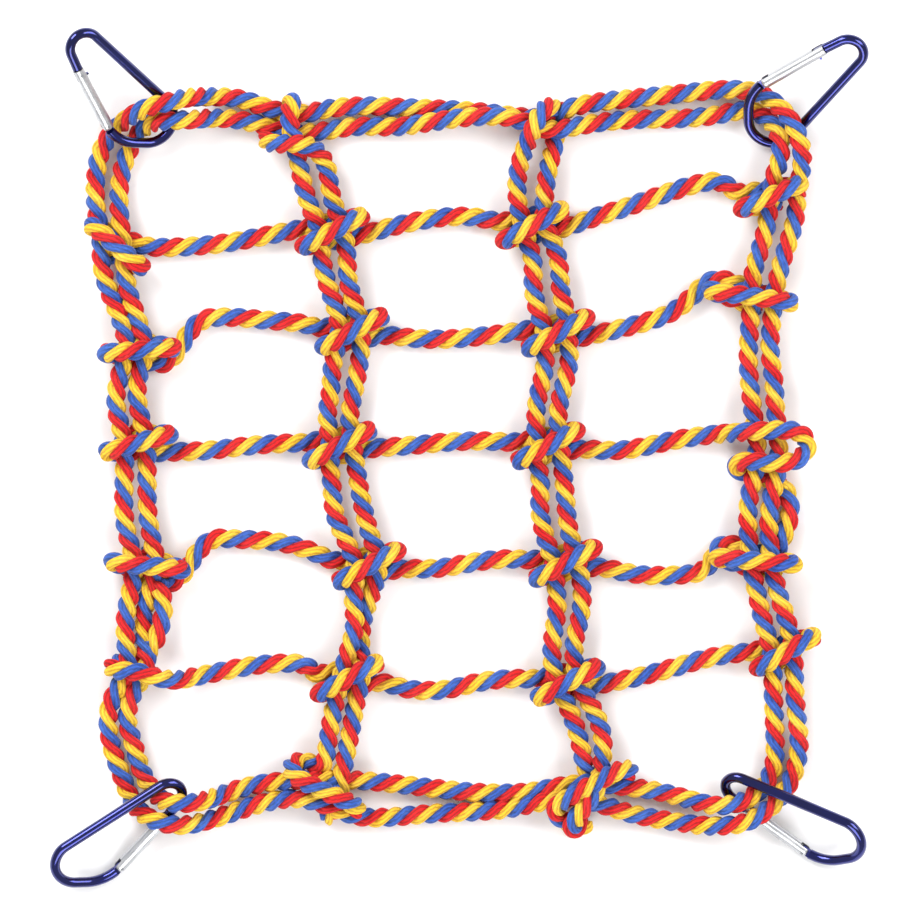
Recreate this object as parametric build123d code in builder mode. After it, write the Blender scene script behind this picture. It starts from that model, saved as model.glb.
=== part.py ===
"""Cargo climbing net: a square net of three-strand rope with a snap hook at each corner.

The net lies flat on the floor plane. X runs to the right, Y up the net, Z out of the floor.
Two border ropes run side by side round the edge, two doubled column ropes run down the net,
and five row ropes are tied round every column and border pair that they cross.
Units are millimetres. Origin: centre of the net, on the floor.
"""

import os
from math import cos, hypot, pi, radians, sin, tan

from build123d import *

# ---------------------------------------------------------------- rope
ROPE_D = 8.0  # three-strand cotton rope
ROPE_R = ROPE_D / 2
FLOOR = 0.0
KNOT_TOP = 22.4  # a wrap behind the pair, the pair, and a band in front, squeezed
KNOT_ROUND = 6.0  # roundness of a knot's edges
KNOT_EDGE_SHARE = 0.42  # most that the rounding may take of a knot's shorter side
BEND_SHARE = 0.45  # share of the shorter run that a bend's arc takes

# ---------------------------------------------------------------- fold line of the net
FOLD_TOP = 33.0  # rope above this line follows the upper half
FOLD_BOTTOM = 20.0  # rope below this line follows the lower half
NET_REACH = 400.0  # size of the boxes that divide the ropes, past the net all round

# ---------------------------------------------------------------- lower corners of the border
CORNER_SIDE = 64.0  # each lower corner stretch lies further than this from the middle of the net
CORNER_TOP = -81.0  # and below this line, from knot to knot

# ---------------------------------------------------------------- snap hook
HOOK_LENGTH = 63.0  # over the bar, nose to pivot end
BAR_D = 4.2  # round aluminium bar
BAR_R = BAR_D / 2
NOSE_HALF = 5.7  # bar centre to the hook's axis, level with the nose
FLARE = 8.1  # degrees that the spine and the gate each lean away from the axis
NOSE_BEND_R = 6.4
END_BEND_R = 7.6  # bend between the spine and the end bow
BOW_START_R = 16.4  # long arc of the end bow, from the gate
BOW_BEND_R = 10.0  # the bow's far arc
BOW_CORNER_IN = (9.9, 3.0)  # gate-side corner of the end bow: back from the end, in from the side
BOW_TIP = (6.9, 7.1)  # the end bow's outermost corner: past the end, towards the spine
END_CORNER_BACK = 8.1  # corner where the spine runs into the bow
NOSE_CORNER_BACK = 1.2  # the nose's two corners lie this far before the bar's own end
NOSE_CORNER_IN = 0.6
JOIN = 1.0  # flat ends run this far into the round bar, and cuts this far past a face
PIVOT_FROM_END = 22.0  # hinge pin from the hook's pivot end, along the axis
PIVOT_ALONG = HOOK_LENGTH - PIVOT_FROM_END
GATE_D = 4.8
GATE_R = GATE_D / 2
GATE_BORE_D = 3.2
GATE_LENGTH = 28.3  # hinge pin to the gate's free end
GATE_TAIL = 1.9  # gate beyond the hinge pin
TAIL_ROUND = 1.6
TONGUE_T = 1.4  # flat ends of the bar that enter the gate
TONGUE_SIDE_GAP = 0.3
SLOT_W = TONGUE_T + 2 * TONGUE_SIDE_GAP
END_GAP = 0.4  # bar's nose to the gate's free end
TAIL_GAP = 0.4  # bar's pivot end to the rounded gate tail
PIN_D = 1.2
PIN_R = PIN_D / 2
PIN_RUN_GAP = 0.06  # hinge pin in the tongue, on the radius
PIN_PROUD = 0.12  # rivet heads stand this far out of the gate
TONGUE_R = 1.7  # rounded tongue round the hinge pin
TONGUE_SLOT_GAP = 0.7
LATCH_PIN_IN = 2.4  # latch pin from the gate's free end
LATCH_GAP = 0.34  # notch to latch pin
CATCH_BAR = 1.05  # thickness of the catch beside and behind the latch pin
CATCH_BARB = 0.75
CATCH_PROUD = 0.7  # the barb stands this far past the gate, inside the eye
CATCH_SLOT_GAP = 0.7
PLUNGER_GAP = 0.3
PLUNGER_D = GATE_BORE_D - 0.2
PLUNGER_LENGTH = 5.0
SPRING_LENGTH = 9.0
SPRING_WALL = 0.4

# Where each hook lies: nose point, heading of the axis from nose to pivot end, pitch (nose up),
# roll (spine side down), and which side of the hook faces up.
HOOKS = {
    "top_left": dict(nose=(-152.2, 169.3, 40.0), heading=-53.4, pitch=30.0, roll=4.0, up=1),
    "top_right": dict(nose=(160.67, 166.5, 32.2), heading=-142.5, pitch=24.0, roll=20.0, up=1),
    "bottom_left": dict(nose=(-110.3, -129.5, 15.7), heading=-139.7, pitch=8.0, roll=36.0, up=-1),
    "bottom_right": dict(nose=(106.5, -128.1, 7.9), heading=-29.7, pitch=-4.0, roll=-44.0, up=1),
}

# ---------------------------------------------------------------- knots
# centre (x, y), width, height and turn in degrees of each knot's outer shape
KNOTS = {
    "knots_top": [((-67, 138), 22, 20, 0), ((36, 138), 19, 19, 0)],
    "knots_row_1": [
        ((-136, 85.5), 22, 22, 0), ((-50, 91.5), 28, 22, 16),
        ((30, 94), 28, 22, 16), ((125, 105.5), 30, 17, 4),
    ],
    "knots_row_2": [
        ((-127, 44), 28, 21, 8), ((-42, 51.5), 28, 21, 16),
        ((40, 51), 28, 20, 14), ((115, 66.5), 37, 15, -6),
    ],
    "knots_row_3": [
        ((-127.5, 7), 27, 20, 8), ((-47, 6), 27, 20, 16),
        ((36, 6), 27, 19, 10), ((126, 4.5), 26, 24, 0),
    ],
    "knots_row_4": [
        ((-124, -42), 31, 19, 6), ((-35.5, -42), 30, 21, 18),
        ((43, -41), 28, 20, 12), ((119, -40), 30, 15, -5),
    ],
    "knots_row_5": [
        ((-126, -84.5), 28, 20, 6), ((-44, -87), 30, 22, 16),
        ((44, -88.5), 28, 21, 14), ((131, -76.5), 27, 18, 20),
    ],
    "knots_bottom": [((-53, -132), 27, 23, 0), ((54, -131.5), 36, 30, 0)],
}

# ---------------------------------------------------------------- rope routes
# Centre line of each rope, point by point (x, y, z).
VERTICAL_ROPES = {
    "border_outer": [
        [
            (134, 106, 10), (137, 113.5, 10.5), (138, 121, 13.5), (136.5, 129, 17),
            (133, 136, 16.5), (128, 142, 11.6), (121, 147, 8.4), (112, 148.4, 6.8), (101, 148, 4.5),
            (88, 146.5, 4), (72, 145, 5),
            (57, 143.4, 8), (44, 142.5, 9.5), (35, 139.5, 6), (23.5, 138.5, 4.3), (9, 139.5, 4),
            (-6, 140.5, 4), (-21, 141, 4), (-36, 142, 4.5), (-51, 142.5, 6), (-63, 141.5, 9.5),
            (-74, 142.5, 9), (-87, 145, 5), (-98, 145.5, 7), (-107.8, 145, 17.4),
            (-117, 142.6, 23.4), (-126.5, 140, 19.2), (-135.5, 134, 8.6), (-142.5, 125.5, 4.5),
            (-145, 113, 5.5),
            (-144.5, 100, 9.5), (-142, 88, 11), (-142.5, 78, 9.5), (-139, 66.5, 8),
            (-134, 55.5, 9.5), (-131.5, 44, 11), (-135.5, 33, 9.5), (-137, 22, 9.5), (-133, 8, 11),
            (-133, -6, 9.5), (-133.5, -20, 9.5), (-132, -30, 10), (-128.5, -40.5, 11),
            (-130.5, -52, 9.5), (-133, -63, 9), (-132.5, -73.5, 10), (-131, -84, 11),
            (-138.5, -95, 9.5), (-140, -104.5, 8), (-138, -116, 5.5), (-134, -126.5, 4.2),
            (-131, -135, 4), (-126.5, -141, 11.8), (-119.5, -144.5, 16.5), (-110, -146, 15.5),
            (-99.5, -143.8, 9.5), (-88, -140, 5),
            (-75, -136, 8), (-63, -134.5, 10.5), (-51, -138, 10), (-39, -143, 6), (-25, -142.5, 4),
            (-10, -141, 4.5), (5, -140.5, 4), (20, -139.5, 5), (35, -136, 9), (48, -134.5, 11),
            (59.5, -138, 9), (72, -142, 5), (87.5, -144.5, 5), (98, -146, 9), (107, -146, 12.5),
            (116.5, -144.5, 12.6), (127, -137.4, 7.9), (134.5, -126.5, 4.5), (137, -114, 6),
            (135.5, -102, 9), (134.5, -90, 10.5),
            (134.5, -78, 11), (132, -64.5, 9.5), (128, -53.5, 9.5), (125.5, -40.5, 11),
            (124, -28, 9.5), (125, -16, 9.5), (128, -4, 10.5), (128.5, 6, 11), (127, 19.5, 9.5),
            (126.5, 32, 9), (124.5, 44, 9), (125.5, 56, 9.5), (126.5, 66.5, 11), (129, 78, 9.5),
            (132.5, 88, 9), (135.5, 98, 10),
        ],
    ],
    "border_inner": [
        [
            (125, 105, 10), (125.8, 112.5, 10), (128.9, 119.5, 13.4), (129.1, 127.5, 13.5),
            (126.3, 135, 7.4), (119.6, 139.6, 4), (112, 140, 4.2), (102.5, 137.7, 4.5),
            (88, 136.5, 4), (72, 136.5, 5),
            (57, 135.3, 8), (45, 135, 10.5), (35, 135.5, 12.5), (22, 137.5, 12.7),
            (6.5, 137.5, 12.5), (-8.5, 135.5, 10.5), (-24, 133, 5.5), (-40, 134, 4.5),
            (-54, 133, 6), (-64.5, 134.5, 9.5),
            (-76.5, 135.5, 8), (-88, 136.5, 5), (-98.5, 137, 9), (-106, 136, 16.5),
            (-116.4, 135.6, 18.2), (-124, 134.6, 9.2), (-128.6, 129.4, 4), (-132.5, 121.6, 4.8),
            (-135, 113, 5.5), (-135.5, 102, 9.5),
            (-134, 89, 11), (-133, 79.5, 9.5), (-132, 68, 8), (-128, 57, 9.5), (-124, 44, 11),
            (-128, 33, 9.5), (-128, 22, 9.5), (-124, 8, 11), (-124, -6, 9.5), (-124, -20, 9.5),
            (-122.5, -30, 10), (-120, -40.5, 11), (-123, -52, 9), (-125.5, -62, 4.6),
            (-125.5, -73.5, 7), (-123, -83, 11), (-130.5, -93.5, 9.5), (-132.5, -104, 8),
            (-129, -114.5, 6), (-126.5, -124.5, 4), (-122, -132, 5.7), (-117.4, -136.4, 16.4),
            (-109.5, -137, 19.6), (-101.5, -136, 16), (-95, -133.8, 7.5), (-87, -131, 4.5),
            (-75, -128.5, 8), (-63, -127.5, 10.5), (-52.5, -127.5, 10),
            (-42, -127.5, 6), (-27, -129, 4), (-9.5, -131, 4.5), (9, -133, 4), (28, -133, 5),
            (41, -130, 9), (53, -128.5, 11), (65, -130, 9), (77, -131.5, 5), (87.5, -134, 5),
            (95, -136.2, 9), (102.5, -138, 13), (110, -137.5, 13.6), (116.5, -135, 9.5),
            (122.5, -130.6, 4.3), (127, -122, 4.5),
            (127, -111, 6), (126.5, -100, 9), (126, -89.5, 10.5), (126, -78, 11), (122, -64, 9.5),
            (119.5, -52.5, 9.5), (117, -40.5, 11), (116, -28, 9.5), (116, -16, 9.5),
            (119, -4, 10.5), (120, 6, 11), (118, 19.5, 9.5), (116.5, 32, 9), (116, 44, 9),
            (117, 56, 10), (117.5, 66.5, 11), (118, 76, 9.5), (121.5, 86, 9), (124, 95.5, 10),
        ],
    ],
    "column_1": [
        [
            (-56, -134, 11), (-53.5, -124, 10), (-52, -114, 9.5), (-50.5, -104, 9.5),
            (-48.5, -95, 10), (-46.5, -86, 11), (-43.5, -76, 11), (-40.5, -66, 13),
            (-42, -55, 11.5), (-40, -42.5, 11), (-44.5, -32, 9.5), (-49.5, -21.5, 9),
            (-50, -11, 9.5), (-51, -2, 10), (-50.5, 7, 11), (-52.5, 17.5, 9.5), (-50.5, 28, 9),
            (-50, 39.5, 9.5), (-46.5, 51, 11), (-48.5, 61, 9.5), (-52.5, 71.5, 9.5),
            (-54.5, 82, 10), (-54.5, 92, 11), (-59.5, 102, 9.5), (-62, 111.5, 9), (-64, 122, 9.5),
            (-67.5, 130, 12), (-68.5, 137, 16),
        ],
        [
            (-58.5, 137, 16), (-56, 128, 10.5), (-52, 118.5, 9), (-51, 108, 9), (-48.5, 99.5, 9.5),
            (-45.5, 92, 11), (-44, 82, 10), (-44, 71.5, 9.5), (-40.5, 61, 9.5), (-38, 51, 11),
            (-39, 40, 9.5), (-41, 29, 9), (-43.5, 18, 9.5), (-42, 7, 11), (-40.5, -3, 9.5),
            (-39, -12.5, 9.5), (-36, -27, 9.5), (-30.5, -41, 11), (-34, -52.5, 8), (-38, -63, 4.5),
            (-39, -74, 6), (-38, -86, 11), (-40.5, -96, 9.5), (-42, -104.5, 9), (-44, -115, 9.5),
            (-46, -124.5, 10), (-49, -134, 11),
        ],
    ],
    "column_2": [
        [
            (50, -134, 11), (51, -123, 10), (49, -112.5, 9.5), (46, -102.5, 9.5), (42.5, -95, 10),
            (39.5, -88, 11), (37.5, -80, 9.5), (38, -70, 9), (40, -60.5, 9), (39.5, -50, 10),
            (38.5, -40.5, 11), (34.5, -29.5, 9.5), (32.5, -19, 9), (33.5, -9.5, 9), (32, -1, 10),
            (32, 7, 11), (31, 16, 9.5), (32, 26, 9), (35, 36, 9.5), (35.5, 51, 11),
            (32, 59.5, 9.5), (30, 69, 9), (30.5, 79.5, 9.5), (28, 87.5, 10), (26, 94.5, 11),
            (23.5, 105, 9.5), (24, 116, 9), (26.5, 126, 10), (30, 135.5, 16),
        ],
        [
            (41, 136, 16), (40, 126.5, 10), (36.5, 118, 9), (35, 109, 9.5), (34.5, 101, 10),
            (34.5, 94, 11), (39.5, 84.5, 9.5), (41, 75.5, 9), (41, 67, 9.5), (43.5, 59.5, 10),
            (44, 51, 11), (45, 42, 9.5), (43.5, 33, 9), (40.5, 23.5, 9.5), (40, 15.5, 10),
            (41, 7, 11), (42, -3, 9.5), (43, -12.5, 9), (44, -27, 9.5), (48, -40.5, 11),
            (50, -51, 9.5), (49.5, -61, 9), (46.5, -72, 9), (46.5, -80.5, 10), (48.5, -89.5, 11),
            (53, -97, 9.5), (56.5, -104, 9), (58.5, -112.5, 9.5), (57.5, -123, 10),
            (55.5, -134, 11),
        ],
    ],
}
ROW_ROPES = {
    "row_1_rope": [
        [
            (-132, 86.5, 4.6), (-120, 85, 4.6), (-106, 85.5, 4.6), (-91, 87, 4.6), (-76, 90, 4.6),
            (-61.5, 91, 4.6), (-50, 90, 4.6),
        ],
        [
            (-50, 89, 4.6), (-38, 90.5, 4.6), (-24.5, 94, 4.6), (-9.5, 97, 4.6), (5, 98, 4.6),
            (19.5, 96, 4.6),
            (29, 94, 4.6),
        ],
        [
            (31.5, 90, 4.6), (44, 93, 4.6), (57, 98, 4.6), (70, 102, 4.6), (81, 106, 4.6),
            (93, 110, 4.6),
            (105, 112.5, 4.6), (118, 110, 4.6),
        ],
    ],
    "row_2_rope": [
        [
            (-124.5, 49, 4.6), (-116.5, 54, 4.6), (-104.5, 57, 4.6), (-90, 57.5, 4.6), (-76, 56, 4.6),
            (-61.5, 55, 4.6), (-48.5, 52, 4.6),
        ],
        [
            (-42, 50.5, 4.6), (-29.5, 49, 4.6), (-16, 48.5, 4.6), (-2, 48.5, 4.6), (13, 50, 4.6),
            (26.5, 52.5, 4.6), (37, 52, 4.6),
        ],
        [
            (41, 49, 4.6), (54, 50, 4.6), (66.5, 53, 4.6), (78, 56, 4.6), (89, 60.5, 4.6),
            (102, 65, 4.6),
        ],
    ],
    "row_3_rope": [
        [
            (-124.5, 5, 4.6), (-112, 3.5, 4.6), (-98, 4, 4.6), (-83.5, 6, 4.6), (-68.5, 7, 4.6),
            (-54, 6, 4.6),
        ],
        [
            (-44.5, 2.5, 4.6), (-32, 4, 4.6), (-18, 6, 4.6), (-4, 7.5, 4.6), (11.5, 8, 4.6),
            (25, 6.5, 4.6),
            (35.5, 7.5, 4.6),
        ],
        [
            (38, 2, 4.6), (50.5, 2, 4.6), (63.5, 3.5, 4.6), (77, 6, 4.6), (90.5, 9, 4.6),
            (103.5, 10.5, 4.6),
            (116, 10.5, 4.6),
        ],
    ],
    "row_link_right": [
        [
            (126, -0.5, 8), (131.5, -8, 6), (133.5, -17.5, 5), (132, -27, 6), (127.5, -36.5, 8),
        ],
    ],
    "row_4_rope": [
        [
            (-119, -38, 6), (-111, -32, 4.6), (-100.5, -30.5, 4.6), (-88, -31.5, 4.6), (-74, -32, 4.6),
            (-60.5, -35, 4.6), (-48, -39, 4.6), (-38, -40.5, 4.6),
        ],
        [
            (-34, -44.5, 4.6), (-21.5, -45, 4.6), (-8, -43.5, 4.6), (6.5, -40.5, 4.6), (21, -39, 4.6),
            (35.5, -40, 4.6),
        ],
        [
            (45, -41, 4.6), (57, -45, 4.6), (72, -46, 4.6), (88, -46, 4.6), (100, -44.5, 4.6),
            (112, -41.5, 4.6),
        ],
    ],
    "row_link_left": [
        [
            (-118, -45.5, 11), (-117, -56, 10), (-118, -64.5, 9.5), (-121, -73.5, 10),
            (-123, -81.5, 11),
        ],
    ],
    "row_5_rope": [
        [
            (-122, -84.5, 4.6), (-110, -86, 4.6), (-97.5, -85, 4.6), (-86, -82.5, 4.6),
            (-73.5, -81, 4.6),
            (-60.5, -81, 4.6), (-48.5, -83, 4.6),
        ],
        [
            (-42, -86, 4.6), (-31, -91, 4.6), (-19, -92, 4.6), (-4.5, -92, 4.6), (10, -88, 4.6),
            (24, -87, 4.6), (38, -89.5, 4.6),
        ],
        [
            (47.5, -89.5, 4.6), (59.5, -89.5, 4.6), (73, -86.5, 4.6), (87.5, -82.5, 4.6),
            (103, -78, 4.6),
            (117, -75, 4.6), (127.5, -76, 4.6),
        ],
    ],
}

# ---------------------------------------------------------------- ropes and knots


def bend_radii(points):
    """One radius for each inner point of a route, as large as its two runs allow."""
    radii = []
    for before, here, after in zip(points, points[1:], points[2:]):
        arriving = Vector(*here) - Vector(*before)
        leaving = Vector(*after) - Vector(*here)
        half_turn = radians(arriving.get_angle(leaving)) / 2
        radii.append(BEND_SHARE * min(arriving.length, leaving.length) / tan(half_turn))
    return radii


def rope_tube(name, points):
    """A plain round tube along a route: straight runs joined by tangent arcs."""
    radii = bend_radii(points)
    with BuildPart() as tube:
        with BuildLine() as path:
            FilletPolyline(*points, radius=radii)
        centre_line = path.wires()[0]
        with BuildSketch(Plane(origin=centre_line @ 0, z_dir=centre_line % 0)):
            Circle(ROPE_R)
        sweep(path=centre_line)
    expected = pi * ROPE_R**2 * centre_line.length
    print(
        f"{name}: length {centre_line.length:.0f} mm, tightest bend {min(radii):.1f} mm, "
        f"volume {tube.part.volume / expected:.3f} of section x length"
    )
    return tube.part


def knot(centre, width, height, turn):
    """The outer shape of one knot: a rounded block from the floor to the front band."""
    rounding = min(KNOT_ROUND, KNOT_EDGE_SHARE * height, KNOT_EDGE_SHARE * width)
    plane = Plane.XY.offset(FLOOR + KNOT_TOP / 2).move(Location((*centre, 0), (0, 0, turn)))
    with BuildPart(plane) as block:
        Box(width, height, KNOT_TOP)
        fillet(block.edges(), rounding)
    return block.part


def save(part, name):
    """Labels one finished node and writes it."""
    part.label = name
    export_step(part, f"parts/{name}.step")


def band(low, high):
    """The slab of space between two heights of Y, over the whole net."""
    with BuildPart(Plane.XZ.offset(-low)) as slab:
        Box(NET_REACH, NET_REACH, high - low, align=(Align.CENTER, Align.CENTER, Align.MAX))
    return slab.part


def corner_box(side):
    """The space of one lower corner of the border: side is -1 for the left, 1 for the right."""
    with BuildPart(Plane.XY.move(Location((side * CORNER_SIDE, CORNER_TOP, 0)))) as box:
        across = Align.MIN if side > 0 else Align.MAX
        Box(NET_REACH / 2, NET_REACH / 2, NET_REACH, align=(across, Align.MAX, Align.CENTER))
    return box.part


def rope_node(name, tubes, slab=None, without=()):
    """The stretches of a rope outside the knots, within a slab and outside other boxes."""
    with BuildPart() as rope:
        for tube in tubes:
            add(tube)
        if slab is not None:
            add(slab, mode=Mode.INTERSECT)
        for box in without:
            add(box, mode=Mode.SUBTRACT)
        reach = rope.part.bounding_box()
        for block in all_knots:
            if touches(reach, block.bounding_box()):
                add(block, mode=Mode.SUBTRACT)
    save(rope.part, name)


def touches(one, other):
    """Whether two bounding boxes meet."""
    return (
        one.min.X < other.max.X and other.min.X < one.max.X
        and one.min.Y < other.max.Y and other.min.Y < one.max.Y
    )


os.makedirs("parts", exist_ok=True)

all_knots = []
for node_name, places in KNOTS.items():
    with BuildPart() as knot_row:
        for centre, width, height, turn in places:
            block = knot(centre, width, height, turn)
            all_knots.append(block)
            add(block)
    save(knot_row.part, node_name)

UPPER = band(FOLD_TOP, NET_REACH / 2)
FOLD = band(FOLD_BOTTOM, FOLD_TOP)
LOWER = band(-NET_REACH / 2, FOLD_BOTTOM)
CORNERS = {"left": corner_box(-1), "right": corner_box(1)}

for rope_name, strands in VERTICAL_ROPES.items():
    whole = [rope_tube(rope_name, strand) for strand in strands]
    rope_node(f"{rope_name}_upper", whole, UPPER)
    rope_node(f"{rope_name}_fold_spans", whole, FOLD)
    in_border = rope_name.startswith("border")
    rope_node(f"{rope_name}_lower", whole, LOWER, CORNERS.values() if in_border else ())
    if in_border:
        for side, box in CORNERS.items():
            rope_node(f"{rope_name}_corner_{side}", whole, box)

for rope_name, spans in ROW_ROPES.items():
    rope_node(rope_name, [rope_tube(rope_name, span) for span in spans])

# ---------------------------------------------------------------- snap hooks
# Hook plane: origin at the nose, X along the axis to the pivot end, Y towards the spine.
# Gate plane: origin at the hinge pin, X along the gate to its free end, Y out of the eye.

FLARE_SLOPE = tan(radians(FLARE))


def half_width(along):
    """Distance of the spine's and the gate's centre line from the hook's axis."""
    return NOSE_HALF + FLARE_SLOPE * (along - BAR_R)


def hook_plane(nose, heading, pitch, roll, up):
    """The plane that a hook lies in, from its headings in degrees."""
    h = radians(heading)
    p = radians(pitch)
    r = radians(roll)
    axis = Vector(cos(h) * cos(p), sin(h) * cos(p), -sin(p))
    level_normal = Vector(cos(h) * sin(p), sin(h) * sin(p), cos(p)) * up
    spine_side = level_normal.cross(axis)
    normal = level_normal * cos(r) + spine_side * sin(r)
    return Plane(origin=nose, x_dir=axis, z_dir=normal)


def on_gate_line(distance):
    """A point on the gate's centre line, in the hook plane, so far from the hinge pin."""
    lean = radians(FLARE)
    return (PIVOT_ALONG - distance * cos(lean), distance * sin(lean) - half_width(PIVOT_ALONG))


def gate_plane(hook):
    """The gate's own plane: at the hinge pin, X towards the free end."""
    pin = hook.from_local_coords(Vector(*on_gate_line(0), 0))
    ahead = hook.from_local_coords(Vector(*on_gate_line(1), 0))
    return Plane(origin=pin, x_dir=ahead - pin, z_dir=hook.z_dir)


def across_gate(gate, distance):
    """The plane square to the gate, so far from the hinge pin."""
    centre = gate.from_local_coords(Vector(distance, 0, 0))
    return Plane(origin=centre, x_dir=gate.z_dir, z_dir=gate.x_dir)


TAIL_REACH = hypot(GATE_TAIL - TAIL_ROUND, GATE_R - TAIL_ROUND) + TAIL_ROUND
BAR_TAIL = -(TAIL_REACH + TAIL_GAP)  # bar's pivot end, along the gate line
BAR_NOSE = GATE_LENGTH + END_GAP
END_ALONG = HOOK_LENGTH - BAR_R
SLOT_AT_TAIL = TONGUE_R + TONGUE_SLOT_GAP
LATCH_AT = GATE_LENGTH - LATCH_PIN_IN
NOTCH_HALF = PIN_R + LATCH_GAP
CATCH_END = LATCH_AT - NOTCH_HALF - CATCH_BARB
SLOT_AT_NOSE = CATCH_END - CATCH_SLOT_GAP
PLUNGER_START = TONGUE_R + PLUNGER_GAP
SPRING_START = PLUNGER_START + PLUNGER_LENGTH


def hook_frame(hook, gate):
    """Bent bar with a flat tongue at the pivot end and a hooked catch at the nose."""
    outline = [
        on_gate_line(BAR_TAIL),
        (END_ALONG - BOW_CORNER_IN[0], BOW_CORNER_IN[1] - half_width(END_ALONG)),
        (END_ALONG + BOW_TIP[0], BOW_TIP[1]),
        (END_ALONG - END_CORNER_BACK, half_width(END_ALONG)),
        (BAR_R - NOSE_CORNER_BACK, half_width(0)),
        (BAR_R - NOSE_CORNER_BACK, NOSE_CORNER_IN - half_width(0)),
        on_gate_line(BAR_NOSE),
    ]
    bends = [BOW_START_R, BOW_BEND_R, END_BEND_R, NOSE_BEND_R, NOSE_BEND_R]
    with BuildPart() as bar:
        with BuildLine(hook) as path:
            FilletPolyline(*outline, radius=bends)
        centre_line = path.wires()[0]
        with BuildSketch(Plane(origin=centre_line @ 0, z_dir=centre_line % 0)):
            Circle(BAR_R)
        sweep(path=centre_line)
        # tongue at the pivot end, with a clearance hole for the hinge pin
        with BuildSketch(gate):
            Circle(TONGUE_R)
            Rectangle(JOIN - BAR_TAIL, 2 * TONGUE_R, align=(Align.MAX, Align.CENTER))
            Circle(PIN_R + PIN_RUN_GAP, mode=Mode.SUBTRACT)
        extrude(amount=TONGUE_T / 2, both=True)
        # catch at the nose: a bar on the outer side of the latch pin, ending in a barb
        catch_out = NOTCH_HALF + CATCH_BAR
        with BuildSketch(gate):
            with BuildLine():
                Polyline(
                    (BAR_NOSE + JOIN, -catch_out),
                    (BAR_NOSE + JOIN, catch_out),
                    (CATCH_END, catch_out),
                    (CATCH_END, -GATE_R - CATCH_PROUD),
                    (CATCH_END + CATCH_BARB, -GATE_R - CATCH_PROUD),
                    (CATCH_END + CATCH_BARB, NOTCH_HALF),
                    (LATCH_AT + NOTCH_HALF, NOTCH_HALF),
                    (LATCH_AT + NOTCH_HALF, -catch_out),
                    close=True,
                )
            make_face()
        extrude(amount=TONGUE_T / 2, both=True)
    return bar.part


def hook_gate(gate):
    """Hollow aluminium gate with a slot across each end."""
    across = across_gate(gate, -GATE_TAIL)
    with BuildPart() as tube:
        with BuildSketch(across):
            Circle(GATE_R)
        extrude(amount=GATE_TAIL + GATE_LENGTH)
        ends = tube.faces().filter_by(GeomType.PLANE).sort_by(Axis(gate.origin, gate.x_dir))
        fillet(ends[0].edges(), TAIL_ROUND)
        with BuildSketch(across):
            Circle(GATE_BORE_D / 2)
        extrude(amount=GATE_TAIL + GATE_LENGTH, mode=Mode.SUBTRACT)
        with BuildSketch(gate):
            with Locations((SLOT_AT_TAIL, 0)):
                Rectangle(SLOT_AT_TAIL + GATE_TAIL + JOIN, 2 * GATE_D, align=(Align.MAX, Align.CENTER))
            with Locations((SLOT_AT_NOSE, 0)):
                Rectangle(GATE_LENGTH - SLOT_AT_NOSE + JOIN, 2 * GATE_D, align=(Align.MIN, Align.CENTER))
        extrude(amount=SLOT_W / 2, both=True, mode=Mode.SUBTRACT)
        with BuildSketch(gate):
            with Locations((0, 0), (LATCH_AT, 0)):
                Circle(PIN_R)
        extrude(amount=GATE_D, both=True, mode=Mode.SUBTRACT)
    return tube.part


def cross_pin(gate, distance):
    """A pin through the gate, across the hook's plane."""
    with BuildPart() as pin:
        with BuildSketch(gate):
            with Locations((distance, 0)):
                Circle(PIN_R)
        extrude(amount=GATE_R + PIN_PROUD, both=True)
    return pin.part


def bore_piece(gate, start, length, outer_d, inner_d=0.0):
    """A round piece in the gate's bore: a solid rod, or a sleeve where an inner size is given."""
    with BuildPart() as piece:
        with BuildSketch(across_gate(gate, start)):
            Circle(outer_d / 2)
            if inner_d:
                Circle(inner_d / 2, mode=Mode.SUBTRACT)
        extrude(amount=length)
    return piece.part


for corner, place in HOOKS.items():
    hook = hook_plane(**place)
    gate = gate_plane(hook)
    save(hook_frame(hook, gate), f"hook_{corner}_frame")
    save(hook_gate(gate), f"hook_{corner}_gate")
    save(cross_pin(gate, 0), f"hook_{corner}_hinge_pin")
    save(cross_pin(gate, LATCH_AT), f"hook_{corner}_latch_pin")
    save(bore_piece(gate, PLUNGER_START, PLUNGER_LENGTH, PLUNGER_D), f"hook_{corner}_plunger")
    save(
        bore_piece(gate, SPRING_START, SPRING_LENGTH, PLUNGER_D, PLUNGER_D - 2 * SPRING_WALL),
        f"hook_{corner}_spring",
    )
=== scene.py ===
"""Cargo climbing net: the rope, its knots and the snap hooks' finishes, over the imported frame.

Metres, in the frame's own axes: X to the right, Y up the net, Z out of the floor.
"""

import math

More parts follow.
